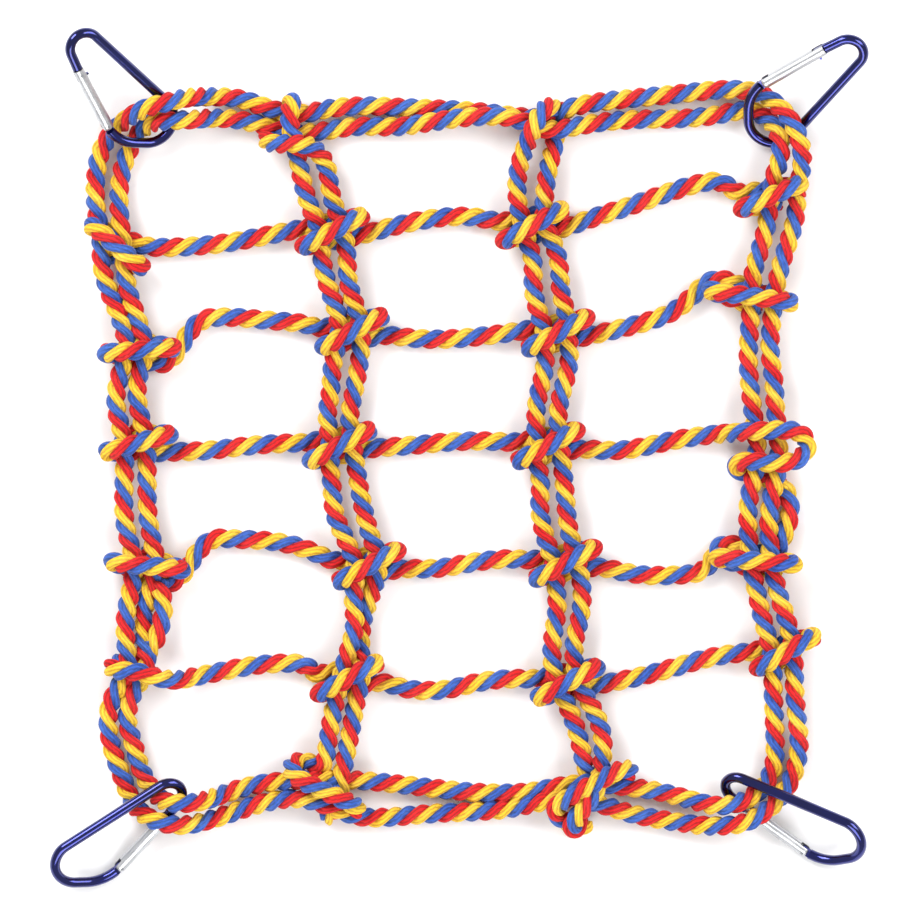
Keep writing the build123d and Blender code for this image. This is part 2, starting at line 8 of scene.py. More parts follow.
import bpy
import numpy as np
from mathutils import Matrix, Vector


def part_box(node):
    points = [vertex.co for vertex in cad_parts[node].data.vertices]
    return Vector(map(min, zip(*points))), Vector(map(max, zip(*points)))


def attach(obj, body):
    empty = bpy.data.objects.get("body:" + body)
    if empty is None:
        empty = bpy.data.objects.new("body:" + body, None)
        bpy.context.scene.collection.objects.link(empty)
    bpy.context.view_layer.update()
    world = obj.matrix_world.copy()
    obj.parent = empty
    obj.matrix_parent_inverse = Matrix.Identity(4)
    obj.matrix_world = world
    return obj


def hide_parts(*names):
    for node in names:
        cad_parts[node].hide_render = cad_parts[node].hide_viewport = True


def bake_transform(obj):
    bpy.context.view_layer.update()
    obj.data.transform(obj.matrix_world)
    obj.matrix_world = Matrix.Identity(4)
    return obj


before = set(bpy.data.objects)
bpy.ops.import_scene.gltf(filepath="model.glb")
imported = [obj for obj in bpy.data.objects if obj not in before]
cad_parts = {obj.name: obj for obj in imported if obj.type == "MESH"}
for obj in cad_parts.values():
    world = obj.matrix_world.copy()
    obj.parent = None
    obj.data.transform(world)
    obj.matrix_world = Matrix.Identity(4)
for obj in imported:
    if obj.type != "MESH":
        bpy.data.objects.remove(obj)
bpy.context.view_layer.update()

MM = 0.001

# ---------------------------------------------------------------- camera
CAMERA_ABOVE = 7.0  # metres over the floor, far enough for an almost flat view
CAMERA_CENTRE = (-3.0 * MM, 4.2 * MM)
VIEW_WIDTH = 0.360  # width of the floor in view, metres
SENSOR = 36.0

camera = bpy.data.objects.new("camera", bpy.data.cameras.new("camera"))
bpy.context.collection.objects.link(camera)
camera.location = (*CAMERA_CENTRE, CAMERA_ABOVE)
camera.data.sensor_width = SENSOR
camera.data.lens = SENSOR * CAMERA_ABOVE / VIEW_WIDTH
bpy.context.scene.camera = camera

# ---------------------------------------------------------------- rope
STRAND_R = 2.05  # mm, each of the three strands
STRAND_OUT = 1.95  # mm, strand's centre from the rope's
STRANDS = 3
ROUND = 14  # points round a strand
STEP = 0.85  # mm between rings along the rope
PATH_STEP = 2.0  # mm between the points that a rope's path is given by
STRAND_START = 0.7  # radians by which each rope's first strand is turned from the last rope's
LAY_BORDER = 16.5  # mm of rope in one whole turn of the strands
LAY_COLUMN = 15.0
LAY_ROW = 18.0


def spline_line(name, points):
    """Points along the smooth line that the route's points control, in mm: a NURBS curve of order 3."""
    curve = bpy.data.curves.new(name + "_route", "CURVE")
    curve.dimensions = "3D"
    curve.resolution_u = 12
    spline = curve.splines.new("NURBS")
    spline.points.add(len(points) - 1)
    weighted = np.ones((len(points), 4), np.float32)
    weighted[:, :3] = np.array(points) * MM
    spline.points.foreach_set("co", weighted.ravel())
    spline.order_u = 3
    spline.use_endpoint_u = True
    holder = bpy.data.objects.new(name + "_route", curve)
    bpy.context.collection.objects.link(holder)
    bpy.context.view_layer.update()
    mesh = bpy.data.meshes.new_from_object(holder)
    line = np.empty(len(mesh.vertices) * 3, np.float32)
    mesh.vertices.foreach_get("co", line)
    bpy.data.objects.remove(holder)
    bpy.data.curves.remove(curve)
    bpy.data.meshes.remove(mesh)
    return line.reshape(-1, 3).astype(float) / MM


def even_line(line, step):
    """The same line at even distances: position as a function of the length run so far."""
    lengths = np.linalg.norm(np.diff(line, axis=0), axis=1)
    run = np.concatenate([[0.0], np.cumsum(lengths)])
    count = int(run[-1] / step) + 1
    at = np.linspace(0.0, run[-1], count)
    even = np.stack([np.interp(at, run, line[:, k]) for k in range(3)], axis=1)
    kernel = np.array([1.0, 2.0, 3.0, 2.0, 1.0]) / 9.0
    padded = np.concatenate([np.repeat(even[:1], 2, 0), even, np.repeat(even[-1:], 2, 0)])
    smooth = np.stack([np.convolve(padded[:, k], kernel, "valid") for k in range(3)], axis=1)
    smooth[0], smooth[-1] = even[0], even[-1]
    return smooth, at


def carried_axes(line):
    """Tangent and two cross axes at each point; the cross axes are carried along without twist."""
    tangent = np.gradient(line, axis=0)
    tangent /= np.linalg.norm(tangent, axis=1)[:, None]
    across = np.empty_like(line)
    start = np.cross(tangent[0], (0.0, 0.0, 1.0))
    across[0] = start / np.linalg.norm(start)
    for i in range(1, len(line)):
        carried = across[i - 1] - tangent[i] * (across[i - 1] @ tangent[i])
        across[i] = carried / np.linalg.norm(carried)
    return tangent, across, np.cross(tangent, across)


def laid_rope(name, route, lay, nodes, first_turn=0.0):
    """Three strands laid left-handed round the route's smooth line.

    A strand's centre stands STRAND_OUT from the line, at an angle that falls by one turn in each
    lay; its surface is a circle of STRAND_R round that centre, square to the rope. Each end
    closes to a dome. Every strand is a grid: along the rope by round the strand.
    """
    line, run = even_line(spline_line(name, route), STEP)
    _, across, out = carried_axes(line)
    rings = len(line)
    around = np.linspace(0.0, 2 * np.pi, ROUND, endpoint=False)
    close = np.sqrt(np.clip(1 - (1 - np.minimum(run, run[-1] - run) / STRAND_R) ** 2, 0.02, 1))
    close[(run > STRAND_R) & (run < run[-1] - STRAND_R)] = 1.0
    vertices, faces, slots, uv = [], [], [], []
    for strand in range(STRANDS):
        turn = first_turn - 2 * np.pi * (run / lay) + 2 * np.pi * strand / STRANDS
        radial = np.cos(turn)[:, None] * across + np.sin(turn)[:, None] * out
        side = -np.sin(turn)[:, None] * across + np.cos(turn)[:, None] * out
        centre = line + STRAND_OUT * radial
        circle = (
            np.cos(around)[None, :, None] * radial[:, None, :]
            + np.sin(around)[None, :, None] * side[:, None, :]
        )
        surface = centre[:, None, :] + STRAND_R * close[:, None, None] * circle
        base = strand * rings * ROUND
        vertices.append(surface.reshape(-1, 3))
        ring = np.arange(rings - 1)[:, None] * ROUND
        here = np.arange(ROUND)[None, :]
        after = (here + 1) % ROUND
        quads = np.stack([ring + here, ring + after, ring + ROUND + after, ring + ROUND + here], -1)
        faces.append(base + quads.reshape(-1, 4))
        slots.append(np.full((rings - 1) * ROUND, strand, np.int32))
        u = np.stack([here / ROUND, (here + 1) / ROUND, (here + 1) / ROUND, here / ROUND], -1)
        v = np.stack([run[:-1], run[:-1], run[1:], run[1:]], -1) * MM
        grid = np.empty((rings - 1, ROUND, 4, 2))
        grid[..., 0] = u
        grid[..., 1] = v[:, None, :]
        uv.append(grid.reshape(-1, 2))
    mesh = bpy.data.meshes.new(name)
    caps = []
    for strand in range(STRANDS):
        base = strand * rings * ROUND
        caps.append(list(range(base, base + ROUND))[::-1])
        caps.append([base + (rings - 1) * ROUND + i for i in range(ROUND)])
    side_faces = np.concatenate(faces)
    mesh.from_pydata(np.concatenate(vertices) * MM, [], side_faces.tolist() + caps)
    material_of = np.concatenate(slots + [np.repeat(np.arange(STRANDS), 2)]).astype(np.int32)
    for dye in STRAND_DYES:
        mesh.materials.append(dye)
    mesh.polygons.foreach_set("material_index", material_of)
    mesh.polygons.foreach_set("use_smooth", np.ones(len(material_of), bool))
    layer = mesh.uv_layers.new(name="along_strand")
    flat = np.zeros((len(mesh.loops), 2), np.float32)
    sides = np.concatenate(uv)
    flat[: len(sides)] = sides
    layer.data.foreach_set("uv", flat.ravel())
    mesh.validate()
    rope = bpy.data.objects.new(name, mesh)
    bpy.context.collection.objects.link(rope)
    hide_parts(*nodes)
    every = max(1, int(PATH_STEP / STEP))
    path = np.concatenate([line[:-1:every], line[-1:]]) * MM
    length = round(float(run[-1]) * MM, 3)
    print(f"rope {name}: {length} m")
    return rope, path, length


# ---------------------------------------------------------------- materials


def srgb(code):
    """A '#RRGGBB' colour as linear red, green, blue and 1."""
    parts = [int(code[i : i + 2], 16) / 255 for i in (1, 3, 5)]
    return (*(c / 12.92 if c <= 0.04045 else ((c + 0.055) / 1.055) ** 2.4 for c in parts), 1.0)


def add(tree, kind, inputs=None, **settings):
    """One node with its settings; inputs maps a socket's name or number to a value or an output."""
    node = tree.nodes.new(kind)
    for key, value in settings.items():
        setattr(node, key, value)
    for key, value in (inputs or {}).items():
        socket = node.inputs[key]
        if isinstance(value, bpy.types.NodeSocket):
            tree.links.new(value, socket)
        else:
            socket.default_value = value
    return node


def finish_named(name):
    """An empty material with its output, and its node tree."""
    material = bpy.data.materials.new(name)
    material.use_nodes = True
    tree = material.node_tree
    tree.nodes.clear()
    return material, tree


def surface(tree, **sockets):
    """The shader and its output; a socket's name is written with _ for each space."""
    shader = add(tree, "ShaderNodeBsdfPrincipled")
    for key, value in sockets.items():
        socket = shader.inputs[key.replace("_", " ")]
        if isinstance(value, bpy.types.NodeSocket):
            tree.links.new(value, socket)
        else:
            socket.default_value = value
    out = add(tree, "ShaderNodeOutputMaterial")
    tree.links.new(shader.outputs[0], out.inputs["Surface"])


def blend_colours(tree, factor, one, two):
    """A mix of two colours; each is a hex code or an output."""
    mix = add(tree, "ShaderNodeMix", data_type="RGBA")
    tree.links.new(factor, mix.inputs["Factor"])
    for socket, colour in zip(mix.inputs[6:8], (one, two)):
        if isinstance(colour, str):
            socket.default_value = srgb(colour)
        else:
            tree.links.new(colour, socket)
    return mix.outputs[2]


def maths(tree, operation, one, two=0.0):
    """One step of arithmetic on values or outputs."""
    return add(tree, "ShaderNodeMath", {0: one, 1: two}, operation=operation).outputs[0]


YARNS = 7  # yarns seen round a strand; real cotton yarn is finer, and would not show
YARN_TURN = 0.0165  # metres of strand in which a yarn goes once round it
YARN_WANDER = 0.10  # share of a turn by which a yarn strays from its line
FIBRES_ROUND = 46.0  # fibre noise round a strand and along it, per turn and per metre
FIBRES_ALONG = 420.0
YARN_EDGE = 0.6  # a lower power keeps the painted shade in the gaps between yarns narrow
FIBRE_FLOOR = 0.45  # shade that the fibres never take away
BLOOM_EDGE = 2.5  # a higher power leaves fewer, brighter loose fibres
BLOOM = 2.2
YARN_HEIGHT = 0.6
FIBRE_HEIGHT = 0.5


def dyed_cotton(name, deep, plain, pale, rough, sheen):
    """Soft twisted cotton: yarns along the rope with painted shade in the gaps between them, loose fibres
    and a matt bloom.

    The yarn pattern is a wave in u - v / YARN_TURN, with u the share of a turn round the strand
    and v the length along it, so that the yarns lie along the rope while the strand winds.
    """
    material, tree = finish_named(name)
    along = add(tree, "ShaderNodeUVMap", uv_map="along_strand").outputs[0]
    parts = add(tree, "ShaderNodeSeparateXYZ", {0: along})
    drift = maths(tree, "DIVIDE", parts.outputs[1], YARN_TURN)
    phase = maths(tree, "SUBTRACT", parts.outputs[0], drift)
    place = add(tree, "ShaderNodeTexCoord").outputs["Object"]
    wander = add(tree, "ShaderNodeTexNoise", {"Vector": place, "Scale": 700.0, "Detail": 2.0})
    shifted = maths(tree, "MULTIPLY_ADD", wander.outputs[0], YARN_WANDER)
    tree.links.new(phase, shifted.node.inputs[2])
    wave = maths(tree, "SINE", maths(tree, "MULTIPLY", shifted, 2 * math.pi * YARNS))
    yarn = maths(tree, "MULTIPLY_ADD", wave, 0.5)
    yarn.node.inputs[2].default_value = 0.5
    # fibres: noise drawn out along the yarns
    stretch = add(
        tree,
        "ShaderNodeCombineXYZ",
        {
            0: maths(tree, "MULTIPLY", shifted, FIBRES_ROUND),
            1: maths(tree, "MULTIPLY", parts.outputs[1], FIBRES_ALONG),
        },
    ).outputs[0]
    fibre = add(
        tree, "ShaderNodeTexNoise", {"Vector": stretch, "Scale": 1.0, "Detail": 4.0, "Roughness": 0.7}
    ).outputs[0]
    cloud = add(tree, "ShaderNodeTexNoise", {"Vector": place, "Scale": 90.0, "Detail": 2.0})
    # painted shade: where the yarn wave is low, between yarns, the colour is mixed toward deep; the fibre
    # noise varies the tone at random
    gaps = maths(tree, "POWER", yarn, YARN_EDGE)
    shade = maths(tree, "MULTIPLY", gaps, maths(tree, "ADD", fibre, FIBRE_FLOOR))
    base = blend_colours(tree, shade, deep, plain)
    loose = maths(tree, "POWER", fibre, BLOOM_EDGE)
    light = maths(tree, "MULTIPLY", loose, maths(tree, "MULTIPLY", cloud.outputs[0], BLOOM))
    colour = blend_colours(tree, light, base, pale)
    yarn_height = maths(tree, "MULTIPLY", yarn, YARN_HEIGHT)
    height = maths(tree, "ADD", yarn_height, maths(tree, "MULTIPLY", fibre, FIBRE_HEIGHT))
    bump = add(tree, "ShaderNodeBump", {"Strength": 0.75, "Distance": 0.0005, "Height": height})
    surface(
        tree,
        Base_Color=colour,
        Roughness=rough,
        Normal=bump.outputs[0],
        Sheen_Weight=sheen,
        Sheen_Roughness=0.5,
        Specular_IOR_Level=0.25,
    )
    return material


# each dye's first colour, deep, is painted shade for the gaps between yarns and also the darker fibre
# tone; the second is the cotton's own colour, the third its pale loose fibres
STRAND_DYES = [
    dyed_cotton("red_cotton", "#7E040C", "#DE0E1A", "#F4504C", 0.9, 0.04),
    dyed_cotton("yellow_cotton", "#B87804", "#F8C81A", "#FFEA78", 0.9, 0.04),
    dyed_cotton("blue_cotton", "#081A58", "#1C4CB4", "#6A9CF0", 0.6, 0.08),
]

# ---------------------------------------------------------------- rope routes, mm
BORDER_OUTER = [
    (135.6, 105, 10.2), (137, 113.5, 10.5), (138, 121, 13.5), (136.5, 129, 17), (133, 136, 16.5),
    (128, 142, 11.6), (121, 147, 8.4), (112, 148.4, 6.8), (101, 148, 4.5), (88, 146.5, 4),
    (72, 145, 5), (57, 143.4, 8), (46, 141.5, 9), (35, 136.5, 6), (23.5, 137.5, 4.3),
    (9, 139.5, 4), (-6, 140.5, 4), (-21, 141, 4), (-36, 142, 4.5), (-51, 141, 6),
    (-63, 137.8, 9.5), (-74, 140, 9), (-87, 145, 5), (-98, 145.5, 7), (-107.8, 145, 17.4),
    (-117, 142.6, 23.4), (-126.5, 140, 19.2), (-135.5, 134, 8.6), (-142.5, 125.5, 4.5),
    (-145, 113, 5.5), (-144.5, 100, 9.5), (-142, 88, 11), (-142.5, 78, 9.5), (-139, 66.5, 8),
    (-134, 55.5, 9.5), (-131.5, 44, 11), (-135.5, 33, 9.5), (-137, 22, 9.5), (-133, 8, 11),
    (-133, -6, 9.5), (-133.5, -20, 9.5), (-132, -30, 10), (-128.5, -40.5, 11), (-130.5, -52, 9.5),
    (-133, -63, 9), (-132.5, -73.5, 10), (-131, -84, 11), (-138.5, -95, 9.5), (-140, -104.5, 8),
    (-138, -116, 5.5), (-134, -126.5, 4.2), (-131, -135, 4), (-126.5, -141, 11.8),
    (-119.5, -144.5, 16.5), (-110, -146, 15.5), (-99.5, -143.8, 9.5), (-88, -140, 5),
    (-75, -136, 8), (-63, -134.5, 10.5), (-51, -138, 10), (-39, -143, 6), (-25, -142.5, 4),
    (-10, -141, 4.5), (5, -140.5, 4), (20, -139.5, 5), (35, -136, 9), (48, -134.5, 11),
    (59.5, -138, 9), (72, -142, 5), (87.5, -144.5, 5), (98, -146, 9), (107, -146, 12.5),
    (116.5, -144.5, 12.6), (127, -137.4, 7.9), (134.5, -126.5, 4.5), (137, -114, 6),
    (135.5, -102, 9), (134.5, -90, 10.5), (134.5, -78, 11), (132, -64.5, 9.5), (128, -53.5, 9.5),
    (125.5, -40.5, 11), (124, -28, 9.5), (125, -16, 9.5), (128, -4, 10.5), (128.5, 6, 11),
    (127, 19.5, 9.5), (126.5, 32, 9), (124.5, 44, 9), (125.5, 56, 9.5), (126.5, 66.5, 11),
    (129, 78, 9.5), (132.5, 88, 9), (135.5, 98, 10), (135.6, 106.5, 10.2),
]
BORDER_INNER = [
    (125, 105, 10), (125.8, 112.5, 10), (128.9, 119.5, 13.4), (129.1, 127.5, 13.5),
    (126.3, 135, 7.4), (119.6, 139.6, 4), (112, 140, 4.2), (102.5, 137.7, 4.5), (88, 136.5, 4),
    (72, 136.5, 5), (57, 135.3, 8), (45, 133, 10.5), (35, 131.5, 12), (22, 137.5, 12.7),
    (6.5, 137.5, 12.5), (-8.5, 135.5, 10.5), (-24, 133, 5.5), (-40, 134, 4.5), (-54, 131.5, 6),
    (-64.5, 130.5, 9.5), (-76.5, 133.5, 8), (-88, 136.5, 5), (-98.5, 137, 9), (-106, 136, 16.5),
    (-116.4, 135.6, 18.2), (-124, 134.6, 9.2), (-128.6, 129.4, 4), (-132.5, 121.6, 4.8),
    (-135, 113, 5.5), (-135.5, 102, 9.5), (-134, 89, 11), (-133, 79.5, 9.5), (-132, 68, 8),
    (-128, 57, 9.5), (-124, 44, 11), (-128, 33, 9.5), (-128, 22, 9.5), (-124, 8, 11),
    (-124, -6, 9.5), (-124, -20, 9.5), (-122.5, -30, 10), (-120, -40.5, 11), (-123, -52, 9),
    (-125.5, -62, 4.6), (-125.5, -73.5, 7), (-123, -83, 11), (-130.5, -93.5, 9.5),
    (-132.5, -104, 8), (-129, -114.5, 6), (-126.5, -124.5, 4), (-122, -132, 5.7),
    (-117.4, -136.4, 16.4), (-109.5, -137, 19.6), (-101.5, -136, 16), (-95, -133.8, 7.5),
    (-87, -131, 4.5), (-75, -128.5, 8), (-63, -127.5, 10.5), (-52.5, -127.5, 10), (-42, -127.5, 6),
    (-27, -129, 4), (-9.5, -131, 4.5), (9, -133, 4), (28, -133, 5), (41, -130, 9),
    (53, -128.5, 11), (65, -130, 9), (77, -131.5, 5), (87.5, -134, 5), (95, -136.2, 9),
    (102.5, -138, 13), (110, -137.5, 13.6), (116.5, -135, 9.5), (122.5, -130.6, 4.3),
    (127, -122, 4.5), (127, -111, 6), (126.5, -100, 9), (126, -89.5, 10.5), (126, -78, 11),
    (122, -64, 9.5), (119.5, -52.5, 9.5), (117, -40.5, 11), (116, -28, 9.5), (116, -16, 9.5),
    (119, -4, 10.5), (120, 6, 11), (118, 19.5, 9.5), (116.5, 32, 9), (116, 44, 9), (117, 56, 10),
    (117.5, 66.5, 11), (118, 76, 9.5), (121.5, 86, 9), (124, 95.5, 10), (125, 106.5, 10),
]
COLUMN_1_UP = [
    (-53.5, -124, 10), (-52, -114, 9.5), (-50.5, -104, 9.5), (-48.5, -95, 10), (-46.5, -86, 11),
    (-43.5, -76, 11), (-40.5, -66, 13), (-42, -55, 11.5), (-40, -42.5, 11), (-44.5, -32, 9.5),
    (-49.5, -21.5, 9), (-50, -11, 9.5), (-51, -2, 10), (-50.5, 7, 11), (-52.5, 17.5, 9.5),
    (-50.5, 28, 9), (-50, 39.5, 9.5), (-46.5, 51, 11), (-48.5, 61, 9.5), (-52.5, 71.5, 9.5),
    (-54.5, 82, 10), (-54.5, 92, 11), (-59.5, 102, 9.5), (-62, 111.5, 9), (-64, 122, 9.5),
]
COLUMN_1_DOWN = [
    (-52, 118.5, 9), (-51, 108, 9), (-48.5, 99.5, 9.5), (-45.5, 92, 11), (-44, 82, 10),
    (-44, 71.5, 9.5), (-40.5, 61, 9.5), (-38, 51, 11), (-39, 40, 9.5), (-41, 29, 9),
    (-43.5, 18, 9.5), (-42, 7, 11), (-40.5, -3, 9.5), (-39, -12.5, 9.5), (-36, -27, 9.5),
    (-30.5, -41, 11), (-34, -52.5, 8), (-38, -63, 4.5), (-39, -74, 6), (-38, -86, 11),
    (-40.5, -96, 9.5), (-42, -104.5, 9), (-44, -115, 9.5), (-46, -124.5, 10),
]
COLUMN_2_UP = [
    (51, -123, 10), (49, -112.5, 9.5), (46, -102.5, 9.5), (42.5, -95, 10), (39.5, -88, 11),
    (37.5, -80, 9.5), (38, -70, 9), (40, -60.5, 9), (39.5, -50, 10), (38.5, -40.5, 11),
    (34.5, -29.5, 9.5), (32.5, -19, 9), (33.5, -9.5, 9), (32, -1, 10), (32, 7, 11), (31, 16, 9.5),
    (32, 26, 9), (35, 36, 9.5), (35.5, 51, 11), (32, 59.5, 9.5), (30, 69, 9), (30.5, 79.5, 9.5),
    (28, 87.5, 10), (26, 94.5, 11), (23.5, 105, 9.5), (24, 116, 9),
]
COLUMN_2_DOWN = [
    (36.5, 118, 9), (35, 109, 9.5), (34.5, 101, 10), (34.5, 94, 11), (39.5, 84.5, 9.5),
    (41, 75.5, 9), (41, 67, 9.5), (43.5, 59.5, 10), (44, 51, 11), (45, 42, 9.5), (43.5, 33, 9),
    (40.5, 23.5, 9.5), (40, 15.5, 10), (41, 7, 11), (42, -3, 9.5), (43, -12.5, 9), (44, -27, 9.5),
    (48, -40.5, 11), (50, -51, 9.5), (49.5, -61, 9), (46.5, -72, 9), (46.5, -80.5, 10),
    (48.5, -89.5, 11), (53, -97, 9.5), (56.5, -104, 9), (58.5, -112.5, 9.5), (57.5, -123, 10),
]
ROW_1_A = [
    (-106, 85.5, 4.6), (-91, 87, 4.6), (-76, 90, 4.6),
]
ROW_1_B = [
    (-24.5, 94, 4.6), (-9.5, 97, 4.6), (5, 98, 4.6),
]
ROW_1_C = [
    (57, 98, 4.6), (70, 102, 4.6), (81, 106, 4.6), (93, 110, 4.6), (105, 112.5, 4.6),
]
ROW_2_A = [
    (-104.5, 57, 4.6), (-90, 57.5, 4.6), (-76, 56, 4.6), (-61.5, 55, 4.6),
]
ROW_2_B = [
    (-16, 48.5, 4.6), (-2, 48.5, 4.6), (13, 50, 4.6),
]
ROW_2_C = [
    (66.5, 53, 4.6), (78, 56, 4.6), (89, 60.5, 4.6),
]
ROW_3_A = [
    (-98, 4, 4.6), (-83.5, 6, 4.6), (-68.5, 7, 4.6),
]
ROW_3_B = [
    (-18, 6, 4.6), (-4, 7.5, 4.6), (11.5, 8, 4.6),
]
ROW_3_C = [
    (63.5, 3.5, 4.6), (77, 6, 4.6), (90.5, 9, 4.6), (103.5, 10.5, 4.6),
]
ROW_4_A = [
    (-100.5, -30.5, 4.6), (-88, -31.5, 4.6), (-74, -32, 4.6), (-60.5, -35, 4.6),
]
ROW_4_B = [
    (-8, -43.5, 4.6), (6.5, -40.5, 4.6), (21, -39, 4.6),
]
ROW_4_C = [
    (72, -46, 4.6), (88, -46, 4.6), (100, -44.5, 4.6),
]
ROW_5_A = [
    (-97.5, -85, 4.6), (-86, -82.5, 4.6), (-73.5, -81, 4.6), (-60.5, -81, 4.6),
]
ROW_5_B = [
    (-19, -92, 4.6), (-4.5, -92, 4.6), (10, -88, 4.6), (24, -87, 4.6),
]
ROW_5_C = [
    (73, -86.5, 4.6), (87.5, -82.5, 4.6), (103, -78, 4.6),
]

# Turns of rope in the knots, mm from the knot's centre; z is from the floor.
# Behind the pair, round one side, across the front as a slanting band, round the other side.
ROUND_PAIR = [
    (-13, 1, 4.4), (-5, 3, 4.4), (4, 4.5, 4.4), (11.3, 6, 8.5), (11.6, 6, 15), (5.5, 3.2, 18.6),
    (-5.5, -3.2, 18.6), (-11.6, -6, 15), (-11.3, -6, 8.5), (-4, -4.5, 4.4), (5, -3, 4.4),
    (13, -1, 4.4),
]


def tied(centre, turn=0.0, wide=1.0, high=1.0, turns=ROUND_PAIR):
    """The turns of one knot, sized, turned by an angle in degrees and put at its centre."""
    c, s = math.cos(math.radians(turn)), math.sin(math.radians(turn))
    return [
        (centre[0] + x * wide * c - y * high * s, centre[1] + x * wide * s + y * high * c, z)
        for x, y, z in turns
    ]


START = ROUND_PAIR[1:]  # the rope's end is tucked behind the pair
END = ROUND_PAIR[:-1]

TOP_1 = [
    (-65, 127, 14), (-67, 134, 18.3), (-67, 140.5, 17), (-66, 144, 11.5), (-66.5, 141.5, 5.5),
    (-69, 135.5, 4.4), (-74.5, 130.5, 5.5), (-77, 127.5, 11.5), (-72, 126, 17.5),
    (-64, 127, 18.3), (-57, 125, 13),
]
TOP_2 = [
    (27, 125, 12), (30.5, 133, 18), (33, 139, 17.5), (37, 142, 12), (39, 140, 6),
    (39.5, 133, 4.4), (39, 127, 5.5),
]
BOTTOM_1_START = [
    (-41.5, -141, 5), (-39, -139, 11), (-44, -136, 17.5), (-54, -131.5, 18.6), (-64, -127, 16),
    (-67.5, -122.5, 11), (-62, -119, 6),
]
BOTTOM_1_END = [(-47, -132, 9), (-48.5, -140, 7), (-54, -143.5, 5)]
BOTTOM_2_START = [
    (47, -146, 5), (40, -143, 7), (38.5, -138, 14), (46, -133.5, 18.6), (56, -128, 18.6),
    (66, -122.5, 15), (70, -124, 9), (64, -127, 5), (54, -127, 5),
]
BOTTOM_2_END = [(56, -131, 15), (50, -139, 18), (45, -146, 13), (47, -148, 7), (53, -144, 5)]

COLUMN_1 = BOTTOM_1_START + COLUMN_1_UP + TOP_1 + COLUMN_1_DOWN + BOTTOM_1_END
COLUMN_2 = BOTTOM_2_START + COLUMN_2_UP + TOP_2 + COLUMN_2_DOWN + BOTTOM_2_END

ROW_1 = (
    tied((-136, 85.5), -8, 0.95, -1.1, START) + ROW_1_A + tied((-50, 91.5)) + ROW_1_B
    + tied((30, 94)) + ROW_1_C + tied((125, 105.5), 0, 1.0, 0.8, END)
)
ROW_2 = (
    tied((-127, 44), -22, 1.05, 1.0, START) + ROW_2_A + tied((-42, 51.5)) + ROW_2_B
    + tied((40, 51)) + ROW_2_C + tied((117, 65.5), -26, 1.35, 0.8, END)
)
RIGHT_3 = [
    (110, 11, 12), (117, 11.5, 18.4), (129, 12.5, 18.6), (137.5, 11.5, 17), (140.5, 6, 15.5),
    (137, 0.5, 17), (129, -1.5, 18.6), (117, 0, 18.4), (111, -1, 13), (111.5, -4, 6),
    (120, -6, 4.4), (130, -9, 4.4),
]
LINK_RIGHT = [(133.5, -17.5, 5), (132, -27, 6), (127.5, -36.5, 8)]
ROW_3 = (
    tied((-127.5, 7), -12, 1.0, 1.0, START) + ROW_3_A + tied((-47, 6)) + ROW_3_B
    + tied((36, 6)) + ROW_3_C + RIGHT_3 + LINK_RIGHT
)
ROW_4 = (
    tied((-124, -42), -32, 1.1, 1.0, START) + ROW_4_A + tied((-35.5, -42)) + ROW_4_B
    + tied((43, -41)) + ROW_4_C + tied((119, -40), -26, 1.25, 0.9, END)
)
LINK_LEFT = [(-119.5, -47.5, 11), (-117, -56, 10), (-118, -64.5, 9.5), (-121, -73.5, 9)]
LEFT_5 = [
    (-126, -79.5, 5), (-134, -80.5, 5.5), (-138.5, -82, 10), (-137, -84, 16), (-129, -84, 18.6),
    (-120, -86.5, 18), (-112.5, -88, 12), (-106, -86.5, 6),
]
ROW_5 = (
    LINK_LEFT + LEFT_5 + ROW_5_A + tied((-44, -87)) + ROW_5_B
    + tied((44, -88.5)) + ROW_5_C + tied((131, -76.5), 4, 1.0, 0.9, END)
)


def whole_net(rope):
    """The rope with its placement baked into its mesh; it is not bent at the fold line."""
    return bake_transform(rope)


UPRIGHT_STRETCHES = ("upper", "fold_spans", "lower")
CORNER_STRETCHES = ("corner_left", "corner_right")
ROPES = [
    ("border_rope_outer", BORDER_OUTER, LAY_BORDER, "whole", ["border_outer"], []),
    ("border_rope_inner", BORDER_INNER, LAY_BORDER, "whole", ["border_inner"], []),
    ("column_rope_1", COLUMN_1, LAY_COLUMN, "whole", ["column_1"], ["knots_top"]),
    ("column_rope_2", COLUMN_2, LAY_COLUMN, "whole", ["column_2"], ["knots_bottom"]),
    ("row_rope_1", ROW_1, LAY_ROW, "net_upper", [], ["row_1_rope", "knots_row_1"]),
    ("row_rope_2", ROW_2, LAY_ROW, "net_upper", [], ["row_2_rope", "knots_row_2"]),
    ("row_rope_3", ROW_3, LAY_ROW, "net_lower", [], ["row_3_rope", "knots_row_3", "row_link_right"]),
    ("row_rope_4", ROW_4, LAY_ROW, "net_lower", [], ["row_4_rope", "knots_row_4"]),
    ("row_rope_5", ROW_5, LAY_ROW, "net_lower", [], ["row_5_rope", "knots_row_5", "row_link_left"]),
]
for order, (name, route, lay, body, split, nodes) in enumerate(ROPES):
    stretches = UPRIGHT_STRETCHES + (CORNER_STRETCHES if "border" in name else ())
    pieces = [f"{part}_{stretch}" for part in split for stretch in stretches]
    rope, path, length = laid_rope(name, route, lay, pieces + nodes, STRAND_START * order)
    if body == "whole":
        whole_net(rope)
    else:
        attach(rope, body)

# ---------------------------------------------------------------- snap hooks


